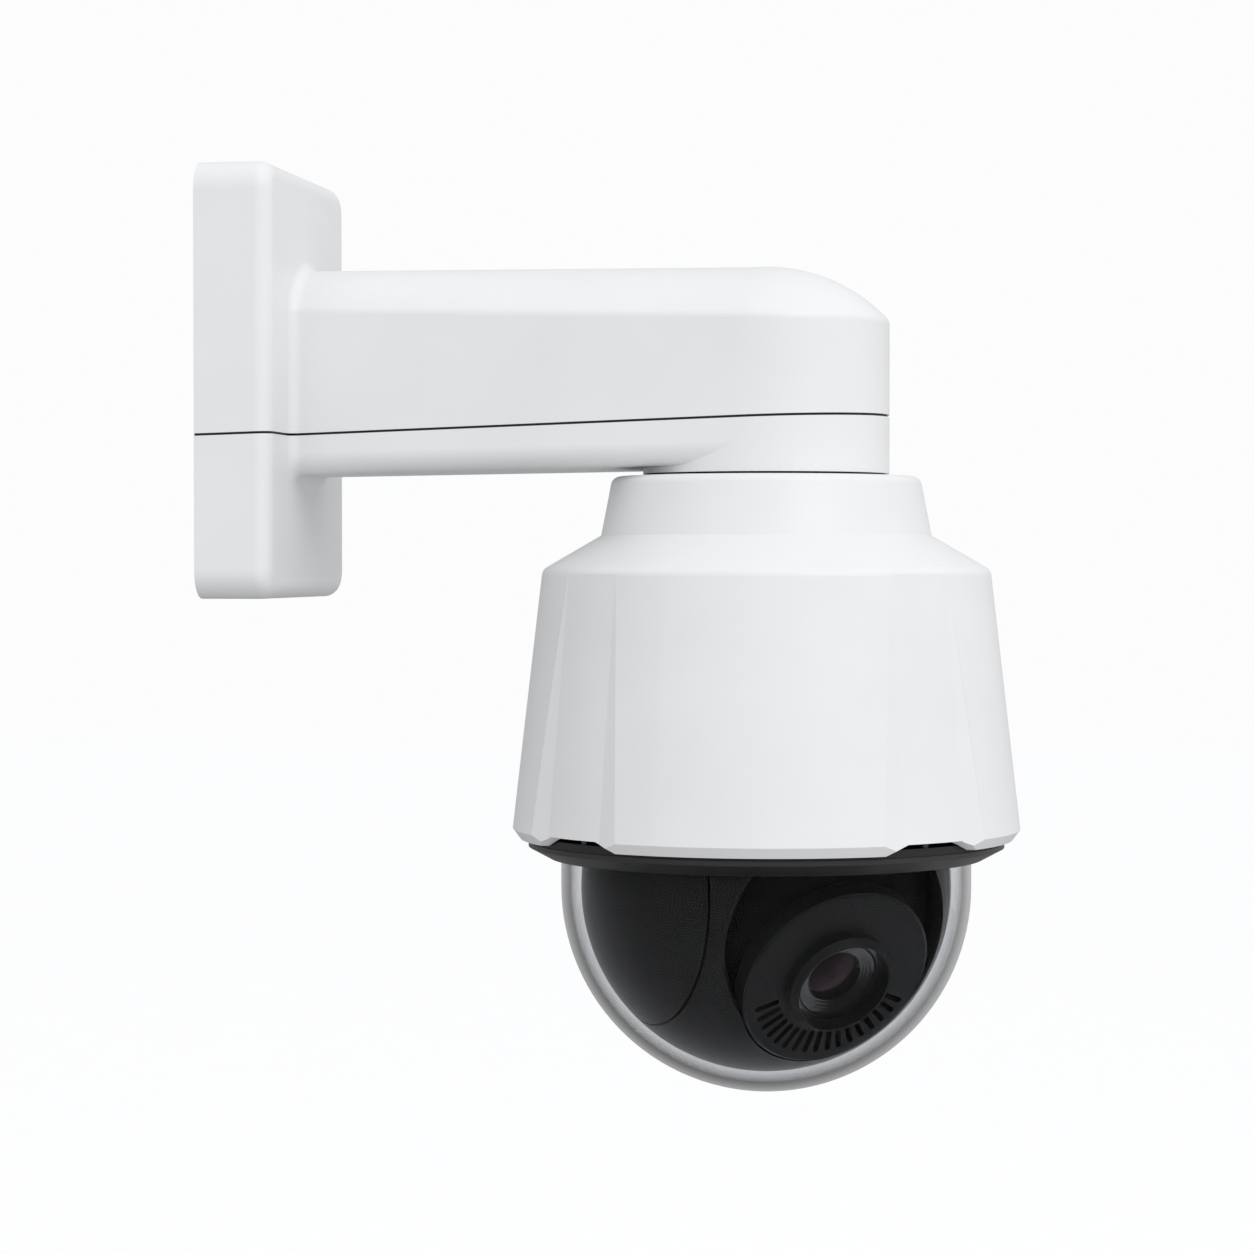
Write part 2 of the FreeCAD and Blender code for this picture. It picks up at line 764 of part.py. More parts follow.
def housing():
    """Black inner can: neck, sloping top, straight wall and the flange that the dome ring clamps to."""
    wall = housing_wall
    neck_z = housing_top_z - housing_neck_height
    slope_z = neck_z - housing_slope_height
    flange_z = ring_top_z + flange_thickness
    outer = [(0, housing_top_z), (neck_radius, housing_top_z), (neck_radius, neck_z),
             (housing_radius, slope_z), (housing_radius, flange_z),
             (flange_radius(), flange_z), (flange_radius(), ring_top_z)]
    inner = [(housing_radius - wall, ring_top_z), (housing_radius - wall, slope_z - wall / 2),
             (neck_radius - wall, neck_z - wall / 2), (neck_radius - wall, housing_top_z - shell_wall),
             (0, housing_top_z - shell_wall)]
    can = revolved(outer + inner)
    pieces = [can]
    for x, y in chassis_screw_places():
        post = cylinder(chassis_boss_radius, chassis_top_z, slope_z + housing_slope_height / 2, x, y)
        pieces.append(post.common(revolved(outer + [(0, ring_top_z)])))
    can = fused(pieces)
    for x, y in chassis_screw_places():
        can = can.cut(cylinder(chassis_screw_radius, chassis_top_z - 1, chassis_top_z + 10, x, y))
    for x, y in ring_screw_places():
        can = can.cut(cylinder(ring_screw_radius + assembly, ring_top_z - 1, flange_z + 1, x, y))
    for x, y in shield_screw_places():
        can = can.cut(cylinder(shield_screw_radius, housing_top_z - shell_wall - 1, housing_top_z + 1, x, y))
    hole = cylinder(nipple_radius + assembly, housing_top_z - shell_wall - 1, housing_top_z + 1)
    return on_head(can.cut(hole))


def dome_ring():
    """Black clamp ring with a chamfered face under the shield."""
    inner = bubble_radius + assembly
    seat = bubble_radius + bubble_flange_overlap + assembly
    seat_z = bubble_top_z - bubble_flange
    ring = revolved([(seat, ring_top_z), (ring_radius, ring_top_z), (ring_radius, ring_top_z - ring_rim),
                     (ring_lip_radius, ring_bottom_z), (inner, ring_bottom_z), (inner, seat_z),
                     (seat, seat_z)])
    for x, y in ring_screw_places():
        ring = ring.cut(cylinder(ring_screw_radius, ring_top_z - ring_screw_hole, ring_top_z + 1, x, y))
    return on_head(ring)


def ring_screws():
    screws = []
    for x, y in ring_screw_places():
        length = flange_thickness + ring_screw_bite
        one = screw(ring_screw_radius, length, ring_screw_head - 0.4, ring_screw_head, 0.8)
        one.rotate(V(0, 0, 0), X_AXIS, 180)
        one.translate(V(x, y, ring_top_z + flange_thickness))
        screws.append(one)
    return on_head(group(screws))


def dome_gasket():
    rim = bubble_radius + bubble_flange_overlap
    return on_head(tube(bubble_radius - bubble_wall + 1, rim - 0.5, bubble_top_z, ring_top_z))


def dome_bubble():
    """Clear hemisphere with a short straight neck and a clamping flange."""
    outer, inner = bubble_radius, bubble_radius - bubble_wall
    flange, flange_z = outer + bubble_flange_overlap, bubble_top_z - bubble_flange

    def bowl(radius):
        low = Part.makeSphere(radius, V(0, 0, ball_z), Z_AXIS, -90, 0, 360)
        return low.fuse(cylinder(radius, ball_z, bubble_top_z))

    body = fused([bowl(outer), cylinder(flange, flange_z, bubble_top_z)])
    return on_head(body.cut(bowl(inner)).cut(cylinder(inner, ball_z, bubble_top_z + 1)))


# ---------------------------------------------------------------- fixed parts of the pan drive


def standoff_places():
    return [polar(standoff_place, angle) for angle in standoff_angles]


def chassis_plate():
    """Round plate with the bearing seat below it and holes for the motor shaft, fan and slip ring."""
    low, top = chassis_z, chassis_top_z
    rim = housing_radius - housing_wall - assembly
    plate = fused([cylinder(rim, low, top), tube(bearing_seat, bearing_seat + 4, bearing_z, low + 1)])
    plate = plate.cut(cylinder(chassis_hole, low - 1, top + 1))
    plate = plate.cut(cylinder(pinion_shaft + 1.5, low - 1, top + 1, pan_centre_distance))
    plate = plate.cut(cylinder(fan_radius, low - 1, top + 1, -fan_place))
    for x, y in chassis_screw_places():
        plate = plate.cut(cylinder(chassis_screw_radius + assembly, low - 1, top + 1, x, y))
    return on_head(plate)


def chassis_screws():
    screws = []
    for x, y in chassis_screw_places():
        one = screw(chassis_screw_radius, chassis_thickness + 8, 2.8, 2.0, 1.2)
        one.translate(V(x, y, chassis_z))
        screws.append(one)
    return on_head(group(screws))


def board_standoffs():
    posts = []
    for x, y in standoff_places():
        post = prism(6, standoff_radius, chassis_top_z, board_z)
        post.translate(V(x, y, 0))
        posts.append(post)
    return on_head(group(posts))


def main_board():
    """Round circuit board with its larger chips and a row of capacitors."""
    top = board_z + board_thickness
    parts = [cylinder(board_radius, board_z, top)]
    chips = ((14, 22, 18, 18, 2.5), (-20, 20, 12, 14, 1.8), (-26, -6, 9, 9, 1.5),
             (30, -4, 8, 12, 2.0), (24, -26, 10, 7, 1.6))
    for x, y, width, depth, height in chips:
        parts.append(block((x - width / 2, x + width / 2), (y - depth / 2, y + depth / 2),
                           (top - 0.2, top + height)))
    for angle in (200, 225, 250):
        parts.append(cylinder(3.2, top - 0.2, top + 6, *polar(36, angle)))
    return on_head(fused(parts))


def network_jack():
    """Eight-way modular socket on the board, its mouth to one side."""
    low = board_z + board_thickness
    half = jack_width / 2
    body = block((-half, half), (-jack_depth * 2 / 3, jack_depth / 3), (low, low + jack_height))
    mouth = block((-half + jack_wall, half - jack_wall), (-jack_depth, 0),
                  (low + jack_wall, low + jack_height - jack_wall))
    return on_head(body.cut(mouth))


def pan_motor():
    """Stepper motor standing on the chassis; its shaft drives the pinion below."""
    low = chassis_top_z
    body = cylinder(motor_radius, low, low + motor_height, pan_centre_distance)
    cap = cylinder(5.0, low + motor_height - 0.1, low + motor_height + 1.5, pan_centre_distance)
    bore = cylinder(pinion_shaft + running, low - 1, low + 6, pan_centre_distance)
    return on_head(fused([body, cap]).cut(bore))


def pan_pinion():
    low = gear_z + 0.5
    teeth = gear(pan_pinion_teeth, pan_module, low, low + gear_height - 1, 0, half_tooth_turn=True)
    shaft = cylinder(pinion_shaft, low, chassis_top_z + 5)
    pinion = fused([teeth, shaft])
    pinion.translate(V(pan_centre_distance, 0, 0))
    return on_head(pinion)


def fan_frame():
    """Square frame of the small fan, with four struts that carry its spindle."""
    low = chassis_top_z
    half = fan_size / 2
    frame = block((-half, half), (-half, half), (low, low + fan_height))
    uprights = [edge for edge in frame.Edges if edge.BoundBox.ZLength > 1]
    frame = frame.makeFillet(3.0, uprights).cut(cylinder(fan_radius, low - 1, low + fan_height + 1))
    spider = [cylinder(6.0, low, low + 1.5)]
    for angle in (45, 135, 225, 315):
        strut = block((0, fan_radius + 1), (-1, 1), (low, low + 1.5))
        strut.rotate(V(0, 0, 0), Z_AXIS, angle)
        spider.append(strut)
    spindle = cylinder(fan_spindle, low, low + 7)
    frame = fused([frame, spindle] + spider)
    frame.translate(V(-fan_place, 0, 0))
    return on_head(frame)


def fan_rotor():
    low = chassis_top_z + 2.0
    hub = cylinder(fan_hub_radius, low, low + 7)
    blade = block((fan_hub_radius - 1.5, fan_radius - moving_gap), (-0.6, 0.6), (-3.2, 3.2))
    blade.rotate(V(0, 0, 0), X_AXIS, fan_blade_pitch)
    blade.translate(V(0, 0, low + 3.5))
    blades = around(blade, [360.0 * i / fan_blades for i in range(fan_blades)])
    rotor = fused([hub] + blades).cut(cylinder(fan_spindle + running, low - 1, low + 5.5))
    rotor.translate(V(-fan_place, 0, 0))
    return on_head(rotor)


def slip_ring_stator():
    top = chassis_top_z
    return on_head(fused([cylinder(slip_ring_radius, bearing_z + 1, top + slip_ring_height),
                          cylinder(slip_ring_flange, top, top + 2.5)]))


def bearing_groove():
    middle = (bearing_bore + bearing_seat) / 2
    groove = Part.makeTorus(middle, bearing_ball_radius + running, V(0, 0, bearing_z + bearing_height / 2))
    return groove, middle


def pan_bearing_outer():
    groove, middle = bearing_groove()
    return on_head(tube(middle + bearing_race_gap, bearing_seat, bearing_z, chassis_z).cut(groove))


def pan_bearing_balls():
    middle = bearing_groove()[1]
    ball = Part.makeSphere(bearing_ball_radius, V(middle, 0, bearing_z + bearing_height / 2))
    return on_head(group(around(ball, [360.0 * i / bearing_ball_count for i in range(bearing_ball_count)])))


# ---------------------------------------------------------------- turning parts: pan
def pan_bearing_inner():
    groove, middle = bearing_groove()
    return on_pan(tube(bearing_bore, middle - bearing_race_gap, bearing_z, chassis_z - 0.4).cut(groove))


def turntable():
    """Disc that carries the yoke, with a hollow hub up through the bearing."""
    top = turntable_z + turntable_thickness
    disc = fused([cylinder(ball_radius - 3.5, turntable_z, top),
                  tube(turntable_hub_bore, bearing_bore - running / 2, top - 1, chassis_z - 0.4),
                  tube(turntable_hub_bore, bearing_bore + 2.0, top - 1, bearing_z)])
    return on_pan(disc.cut(cylinder(slip_ring_shaft + running, turntable_z - 1, top + 1)))


def pan_gear():
    """Large wheel under the chassis: at rest one of its teeth stands in a gap of the pinion."""
    bore = bearing_bore + 2.0 + assembly
    return on_head(gear(pan_gear_teeth, pan_module, gear_z, gear_z + gear_height, bore))


def slip_ring_rotor():
    top = turntable_z + turntable_thickness
    return on_pan(fused([cylinder(slip_ring_shaft, turntable_z - 1.5, bearing_z + 0.6),
                         cylinder(slip_ring_shaft + 4, top, top + 2)]))


def yoke_arm(side):
    """One cheek of the yoke: foot under the turntable, plate down to the tilt axis."""
    inner, outer = side * yoke_arm_y, side * (yoke_arm_y + yoke_arm_thickness)
    plate = fused([block((-yoke_half_width, yoke_half_width), (inner, outer), (ball_z, turntable_z)),
                   bar_y(yoke_half_width, inner, outer, 0, ball_z),
                   block((-yoke_half_width, yoke_half_width), (side * (yoke_arm_y - yoke_foot), outer),
                         (turntable_z - yoke_foot_thickness, turntable_z))])
    plate = plate.cut(bar_y(tilt_axle_radius + bush_wall, inner - side, outer + side, 0, ball_z))
    for x in (-yoke_screw_half_gap, yoke_screw_half_gap):
        hole_y = side * (yoke_arm_y - yoke_screw_inset)
        plate = plate.cut(cylinder(1.5, turntable_z - yoke_foot_thickness - 1, turntable_z + 1, x, hole_y))
    return on_pan(plate)


def yoke_screws():
    screws = []
    for side in (-1, 1):
        for x in (-yoke_screw_half_gap, yoke_screw_half_gap):
            one = screw(1.4, yoke_foot_thickness - 0.2, 2.6, 1.6, 1.1)
            one.translate(V(x, side * (yoke_arm_y - yoke_screw_inset), turntable_z - yoke_foot_thickness))
            screws.append(one)
    return on_pan(group(screws))


def yoke_cover(side):
    """Rounded cap over one yoke arm that completes the ball's outline."""
    cap = Part.makeSphere(ball_radius).cut(Part.makeSphere(ball_radius - ball_wall))
    keep = block((-90, 90), (side * yoke_plane, side * 90), (-90, 90))
    cap = cap.common(keep)
    cap.translate(V(0, 0, ball_z))
    slot = block((-yoke_half_width - assembly, yoke_half_width + assembly),
                 (side * (yoke_arm_y - 2), side * (yoke_arm_y + yoke_arm_thickness + assembly)),
                 (ball_z, turntable_z + 5))
    return on_pan(cap.cut(slot))


def tilt_bushes():
    """Flanged bushes in the yoke arms that carry the tilt axles."""
    bushes = []
    for side in (-1, 1):
        inner, outer = side * (yoke_arm_y - 0.2), side * (yoke_arm_y + yoke_arm_thickness)
        body = fused([bar_y(tilt_axle_radius + bush_wall, inner, outer + side, 0, ball_z),
                      bar_y(tilt_axle_radius + bush_wall + bush_flange, outer, outer + side, 0, ball_z)])
        bushes.append(body.cut(bar_y(tilt_axle_radius + running, inner - side, outer + 2 * side, 0, ball_z)))
    return on_pan(group(bushes))


def tilt_fixed_gear():
    """Gear fixed to one yoke arm; the tilt motor's pinion walks round it."""
    wheel = gear(tilt_gear_teeth, tilt_module, 0, tilt_gear_width, tilt_axle_flange + 0.5)
    wheel.rotate(V(0, 0, 0), X_AXIS, -90)
    wheel.rotate(V(0, 0, 0), Y_AXIS, tilt_rest)
    wheel.translate(V(0, yoke_arm_y - tilt_gear_width, ball_z))
    return on_pan(wheel)


# ---------------------------------------------------------------- tilting parts, in the lens frame


def tilt_motor_x():
    return -tilt_centre_distance


def ball_shell(front):
    """Half of the ball between the yoke cheeks; the front half opens round the lens face."""
    half = Part.makeSphere(ball_radius).cut(Part.makeSphere(ball_radius - ball_wall))
    x_range = (0.1, 90) if front else (-90, -0.1)
    half = half.common(block(x_range, (-ball_half_width, ball_half_width), (-90, 90)))
    if front:
        reach = 100.0
        mouth = reach * math.tan(math.radians(opening_half_angle))
        cone = Part.makeCone(0, mouth, reach, V(0, 0, 0), X_AXIS)
        cone.rotate(V(0, 0, 0), Y_AXIS, -opening_lift)
        half = half.cut(cone).cut(bar_x(face_radius + moving_gap, 20, 90))
    return on_tilt(half)


def ball_inner_cowl():
    """Dark inner bowl seen in the gap between the ball's opening and the lens face."""
    cap = Part.makeSphere(cowl_radius).cut(Part.makeSphere(cowl_radius - cowl_wall))
    cap = cap.common(block((14, 90), (-ball_half_width + 3, ball_half_width - 3), (-90, 90)))
    return on_tilt(cap.cut(bar_x(face_radius - 6, 10, 90)))


def lens_cradle():
    """Frame inside the ball: two cheeks, a front bridge that holds the barrel and a rear bridge."""
    cheeks = []
    for side, rear in ((-1, cradle_rear), (1, tilt_motor_x() - cradle_motor_end)):
        span = (side * cradle_y, side * (cradle_y + cradle_thickness))
        cheeks.append(block((rear, cradle_front), span, (-cradle_height, cradle_height)))
    y_span = (-cradle_y - 0.1, cradle_y + 0.1)
    front = block((cradle_front - 3, cradle_front), y_span, (-cradle_height, cradle_height))
    rear = block((cradle_rear, cradle_rear + 3), y_span, (-cradle_height, cradle_height))
    frame = fused(cheeks + [front, rear]).cut(bar_x(barrel_radius + running, 0, 60))
    frame = frame.cut(bar_y(tilt_shaft * 2, cradle_y - 1, cradle_y + 6, tilt_motor_x(), 0))
    return on_tilt(frame)


def tilt_axles():
    """Flanged stub axles, one on each cheek of the cradle."""
    axles = []
    for side in (-1, 1):
        seat = side * (cradle_y + cradle_thickness)
        end = side * (yoke_arm_y + yoke_arm_thickness + 2.5)
        axle = fused([bar_y(tilt_axle_flange, seat, seat + side * 1.5), bar_y(tilt_axle_radius, seat, end)])
        axles.append(axle)
    return on_tilt(group(axles))


def tilt_motor():
    body = bar_y(tilt_motor_radius, cradle_y - tilt_motor_length, cradle_y, tilt_motor_x())
    bore = bar_y(tilt_shaft + running, cradle_y - 6, cradle_y + 1, tilt_motor_x())
    return on_tilt(body.cut(bore))


def tilt_pinion():
    low = yoke_arm_y - tilt_gear_width
    teeth = gear(tilt_pinion_teeth, tilt_module, 0, tilt_gear_width - 0.5, 0)
    teeth.rotate(V(0, 0, 0), X_AXIS, -90)
    teeth.rotate(V(0, 0, 0), Y_AXIS, 180.0 / tilt_pinion_teeth)
    teeth.translate(V(0, low, 0))
    shaft = bar_y(tilt_shaft, cradle_y - 5, low + tilt_gear_width - 0.5)
    pinion = fused([teeth, shaft])
    pinion.translate(V(tilt_motor_x(), 0, 0))
    return on_tilt(pinion)


def lens_face_plate():
    """Flat disc round the lens with a short skirt and a fan of radial vents in its lower half."""
    back = face_distance - face_skirt
    cup = revolved_x([(back, face_radius - 2), (face_distance - face_thickness, face_radius - 2),
                      (face_distance - face_thickness, 0), (face_distance, 0),
                      (face_distance, face_radius - 1), (face_distance - 1, face_radius),
                      (back, face_radius)])
    cup = cup.cut(bar_x(collar_radius + running, 20, 90))
    vent_inner, vent_outer = collar_radius + vent_inner_gap, face_radius - vent_outer_gap
    vents = []
    for i in range(vent_count):
        angle = 180 + (i - (vent_count - 1) / 2) * vent_pitch
        vent = fused([block((face_distance - 5, face_distance + 1), (-vent_width / 2, vent_width / 2),
                            (vent_inner, vent_outer)),
                      bar_x(vent_width / 2, face_distance - 5, face_distance + 1, 0, vent_inner),
                      bar_x(vent_width / 2, face_distance - 5, face_distance + 1, 0, vent_outer)])
        vent.rotate(V(0, 0, 0), X_AXIS, angle)
        vents.append(vent)
    return on_tilt(cup.cut(group(vents)))


def lens_collar():
    """Raised ring round the glass, flared inside."""
    low, high = face_distance - face_thickness, face_distance + lens_collar_length
    bore = barrel_radius + running
    ring = revolved_x([(low, bore), (low, collar_radius), (high - 2.5, collar_radius),
                       (high, collar_radius - 1.6), (high, collar_radius - 2.4), (low + 4.5, bore)])
    return on_tilt(ring)


def lens_barrel():
    """Stepped tube that holds the optics."""
    front = face_distance + 1.0
    bore = lens_radius + 0.5
    tube_outline = [(barrel_rear, barrel_radius), (front, barrel_radius), (front, lens_radius + 1.0),
                    (front - 6, lens_radius - 1.5), (front - 6.5, bore), (barrel_rear, bore)]
    return on_tilt(revolved_x(tube_outline))


def front_lens():
    """Front glass: shallow dome in front, gently hollow behind."""
    seat = face_distance - 4.6
    dome_height = 2.6
    radius = lens_radius - 2.0
    sphere_radius = (radius ** 2 + dome_height ** 2) / (2 * dome_height)
    sphere = Part.makeSphere(sphere_radius, V(seat + 1.2 + dome_height - sphere_radius, 0, 0))
    glass = bar_x(radius, seat, seat + 6).common(sphere)
    hollow = Part.makeSphere(30.0, V(seat - 29.2, 0, 0))
    return on_tilt(glass.cut(hollow))


def front_lens_ring():
    """Black retaining ring in front of the glass."""
    seat = face_distance - 3.4
    ring = revolved_x([(seat, lens_radius - 1.9), (seat, lens_radius - 1.6), (seat + 2.6, lens_radius + 0.1),
                       (seat + 2.6, lens_radius - 1.2), (seat + 0.8, lens_radius - 2.6)])
    return on_tilt(ring)


def moving_lens_group(start, length):
    """Lens cell with its glass that slides on the two guide rods."""
    end = start + length
    cell = bar_x(lens_radius - assembly, start, end).cut(bar_x(cell_glass_radius, start - 1, end + 1))
    for side in (-1, 1):
        cell = cell.cut(bar_x(guide_rod_radius + running, start - 1, end + 1, side * guide_rod_place))
    glass = bar_x(cell_glass_radius + 0.1, start + 1, end - 1)
    return on_tilt(fused([cell, glass]))


def lens_guide_rods():
    start, end = barrel_rear + 2, face_distance - face_skirt
    return on_tilt(group(bar_x(guide_rod_radius, start, end, side * guide_rod_place) for side in (-1, 1)))


def iris_plate():
    """Fixed diaphragm between the two moving groups."""
    low, high = iris_distance, iris_distance + iris_thickness
    plate = bar_x(lens_radius + 0.5, low, high).cut(bar_x(iris_radius, low - 1, high + 1))
    for side in (-1, 1):
        plate = plate.cut(bar_x(guide_rod_radius + running, low - 1, high + 1, side * guide_rod_place))
    return on_tilt(plate)


def sensor_board():
    """Board across the barrel's rear end with the image sensor in the middle."""
    span = (-sensor_board_half, sensor_board_half)
    board = block((barrel_rear - board_thickness, barrel_rear), span, span)
    sensor = block((barrel_rear - 0.1, barrel_rear + 1.5), (-6, 6), (-5, 5))
    plug = block((barrel_rear - 4.6, barrel_rear - 1.5), (-9, 9), (-15, -10))
    return on_tilt(fused([board, sensor, plug]))


# ---------------------------------------------------------------- assembly
def build():
    outer = bracket_outer()
    cavity = bracket_solid(shell_wall)
    return {
        "wall_plate": wall_plate(),
        "wall_plate_tabs": wall_plate_tabs(),
        "wall_gasket": wall_gasket(),
        "arm_lower_shell": arm_lower_shell(outer, cavity),
        "arm_upper_shell": arm_upper_shell(outer, cavity),
        "shell_gasket": shell_gasket(cavity),
        "shell_screws": shell_screws(),
        "lock_screws": lock_screws(),
        "hub_gasket": hub_gasket(),
        "pendant_nipple": pendant_nipple(),
        "nipple_seal": nipple_seal(),
        "pendant_locknut": pendant_locknut(),
        "cable_grommet": cable_grommet(),
        "weather_shield": weather_shield(),
        "shield_screws": shield_screws(),
        "housing": housing(),
        "dome_gasket": dome_gasket(),
        "dome_bubble": dome_bubble(),
        "dome_ring": dome_ring(),
        "ring_screws": ring_screws(),
        "chassis_plate": chassis_plate(),
        "chassis_screws": chassis_screws(),
        "board_standoffs": board_standoffs(),
        "main_board": main_board(),
        "network_jack": network_jack(),
        "pan_motor": pan_motor(),
        "pan_pinion": pan_pinion(),
        "fan_frame": fan_frame(),
        "fan_rotor": fan_rotor(),
        "slip_ring_stator": slip_ring_stator(),
        "pan_bearing_outer": pan_bearing_outer(),
        "pan_bearing_balls": pan_bearing_balls(),
        "pan_bearing_inner": pan_bearing_inner(),
        "turntable": turntable(),
        "pan_gear": pan_gear(),
        "slip_ring_rotor": slip_ring_rotor(),
        "yoke_arm_left": yoke_arm(-1),
        "yoke_arm_right": yoke_arm(1),
        "yoke_screws": yoke_screws(),
        "yoke_cover_left": yoke_cover(-1),
        "yoke_cover_right": yoke_cover(1),
        "tilt_bushes": tilt_bushes(),
        "tilt_fixed_gear": tilt_fixed_gear(),
        "ball_front_shell": ball_shell(True),
        "ball_rear_shell": ball_shell(False),
        "ball_inner_cowl": ball_inner_cowl(),
        "lens_cradle": lens_cradle(),
        "tilt_axles": tilt_axles(),
        "tilt_motor": tilt_motor(),
        "tilt_pinion": tilt_pinion(),
        "lens_face_plate": lens_face_plate(),
        "lens_collar": lens_collar(),
        "lens_barrel": lens_barrel(),
        "front_lens": front_lens(),
        "front_lens_ring": front_lens_ring(),
        "zoom_lens_group": moving_lens_group(zoom_start, zoom_length),
        "focus_lens_group": moving_lens_group(focus_start, focus_length),
        "lens_guide_rods": lens_guide_rods(),
        "iris_plate": iris_plate(),
        "sensor_board": sensor_board(),
    }


os.makedirs("parts", exist_ok=True)
for node, shape in build().items():
    shape.exportStep("parts/" + node + ".step")
    print(node, len(shape.Solids), round(shape.Volume, 1), shape.isValid())
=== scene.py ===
import json
import math

import bpy
from mathutils import Matrix, Vector


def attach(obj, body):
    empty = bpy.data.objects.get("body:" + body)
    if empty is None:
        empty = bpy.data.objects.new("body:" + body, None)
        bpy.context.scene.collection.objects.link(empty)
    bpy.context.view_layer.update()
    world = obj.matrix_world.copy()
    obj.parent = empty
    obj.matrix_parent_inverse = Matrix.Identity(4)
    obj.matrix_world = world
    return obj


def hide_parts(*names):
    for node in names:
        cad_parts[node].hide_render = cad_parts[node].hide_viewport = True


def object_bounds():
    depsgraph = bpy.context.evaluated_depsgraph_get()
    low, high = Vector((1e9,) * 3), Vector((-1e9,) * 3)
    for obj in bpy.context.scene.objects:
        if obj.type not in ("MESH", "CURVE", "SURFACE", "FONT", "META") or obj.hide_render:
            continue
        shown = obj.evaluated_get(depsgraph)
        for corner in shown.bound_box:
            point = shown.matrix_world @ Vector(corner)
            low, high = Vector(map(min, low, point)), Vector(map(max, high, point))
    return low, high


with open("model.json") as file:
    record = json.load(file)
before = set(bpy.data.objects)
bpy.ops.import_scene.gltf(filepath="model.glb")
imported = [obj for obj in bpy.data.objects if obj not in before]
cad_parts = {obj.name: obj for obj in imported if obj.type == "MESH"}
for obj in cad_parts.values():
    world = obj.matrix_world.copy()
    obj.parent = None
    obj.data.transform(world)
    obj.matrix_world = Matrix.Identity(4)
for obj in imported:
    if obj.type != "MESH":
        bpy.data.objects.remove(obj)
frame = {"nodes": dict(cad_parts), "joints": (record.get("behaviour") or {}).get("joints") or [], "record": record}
cad_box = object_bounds()

MM = 0.001
NOISE_RANGE = (0.3, 0.7)
BROAD_GRAIN = 28.0
RELIEF_STRENGTH = 0.35
EVEN = (1, 1, 1)
BRUSHED = (1, 1, 14)
NODES = frame["nodes"]
JOINTS = {joint["name"]: joint for joint in frame["joints"]}


# ---------------------------------------------------------------- small helpers
def new_material(name):
    """Empty node material with its Principled shader."""
    material = bpy.data.materials.new(name)
    material.use_nodes = True
    return material, material.node_tree, material.node_tree.nodes["Principled BSDF"]


def add_node(tree, kind, **inputs):
    """Shader node of a kind, with values set on its named sockets."""
    node = tree.nodes.new(kind)
    for name, value in inputs.items():
        node.inputs[name.replace("_", " ")].default_value = value
    return node


def noise(tree, scale, detail=3.0, stretch=EVEN):
    """Noise in the object's own metres; scale is in features per metre."""
    place = tree.nodes.new("ShaderNodeTexCoord")
    mapping = tree.nodes.new("ShaderNodeMapping")
    mapping.inputs["Scale"].default_value = stretch
    texture = add_node(tree, "ShaderNodeTexNoise", Scale=scale, Detail=detail, Roughness=0.55)
    tree.links.new(place.outputs["Object"], mapping.inputs["Vector"])
    tree.links.new(mapping.outputs["Vector"], texture.inputs["Vector"])
    return texture.outputs["Fac"]


def spread(tree, fac, low, high, taken=NOISE_RANGE):
    """Maps a taken range of a factor to a range of numbers."""
    node = tree.nodes.new("ShaderNodeMapRange")
    node.inputs["From Min"].default_value, node.inputs["From Max"].default_value = taken
    node.inputs["To Min"].default_value = low
    node.inputs["To Max"].default_value = high
    tree.links.new(fac, node.inputs["Value"])
    return node


def tint(tree, fac, first, second):
    """Colour that varies between two close shades."""
    node = tree.nodes.new("ShaderNodeValToRGB")
    node.color_ramp.elements[0].position, node.color_ramp.elements[1].position = NOISE_RANGE
    node.color_ramp.elements[0].color = (*first, 1)
    node.color_ramp.elements[1].color = (*second, 1)
    tree.links.new(fac, node.inputs["Fac"])
    return node.outputs["Color"]


def bumpy(tree, shader, fac, strength, distance):
    """Fine relief from a factor."""
    node = add_node(tree, "ShaderNodeBump", Strength=strength, Distance=distance)
    tree.links.new(fac, node.inputs["Height"])
    tree.links.new(node.outputs["Normal"], shader.inputs["Normal"])


def surface(name, shades, rough, metallic=0.0, grain=900.0, relief=0.00003, stretch=EVEN, **values):
    """Procedural finish: two close shades, uneven roughness and a fine relief."""
    material, tree, shader = new_material(name)
    fine = noise(tree, grain, stretch=stretch)
    broad = noise(tree, BROAD_GRAIN, 2.0)
    tree.links.new(tint(tree, broad, *shades), shader.inputs["Base Color"])
    tree.links.new(spread(tree, fine, *rough).outputs["Result"], shader.inputs["Roughness"])
    shader.inputs["Metallic"].default_value = metallic
    for socket, value in values.items():
        shader.inputs[socket.replace("_", " ")].default_value = value
    bumpy(tree, shader, fine, RELIEF_STRENGTH, relief)
    return material


# ---------------------------------------------------------------- materials
def white_paint():
    """Fine-grained white powder coat with a soft gloss."""
    return surface("white_powder_coat", ((0.79, 0.795, 0.805), (0.815, 0.82, 0.83)), (0.34, 0.42),
                   grain=1500.0, relief=0.00002, Coat_Weight=0.12, Coat_Roughness=0.25,
                   Specular_IOR_Level=0.45)


def black_plastic(name, level, rough, sheen=0.5, grain=1800.0, relief=0.00001):
    """Moulded black; sheen is how strongly it mirrors the room."""
    low = (level, level, level * 1.06)
    high = tuple(shade * 1.35 for shade in low)
    return surface(name, (low, high), rough, grain=grain, relief=relief, Specular_IOR_Level=sheen)


def metal(name, level, rough, stretch=BRUSHED):
    """Slightly blue metal, brushed across unless its grain is even."""
    low = tuple(shade * level for shade in (0.94, 0.96, 1.0))
    high = tuple(shade * 1.08 for shade in low)
    return surface(name, (low, high), rough, metallic=1.0, grain=420.0, relief=0.00001, stretch=stretch)


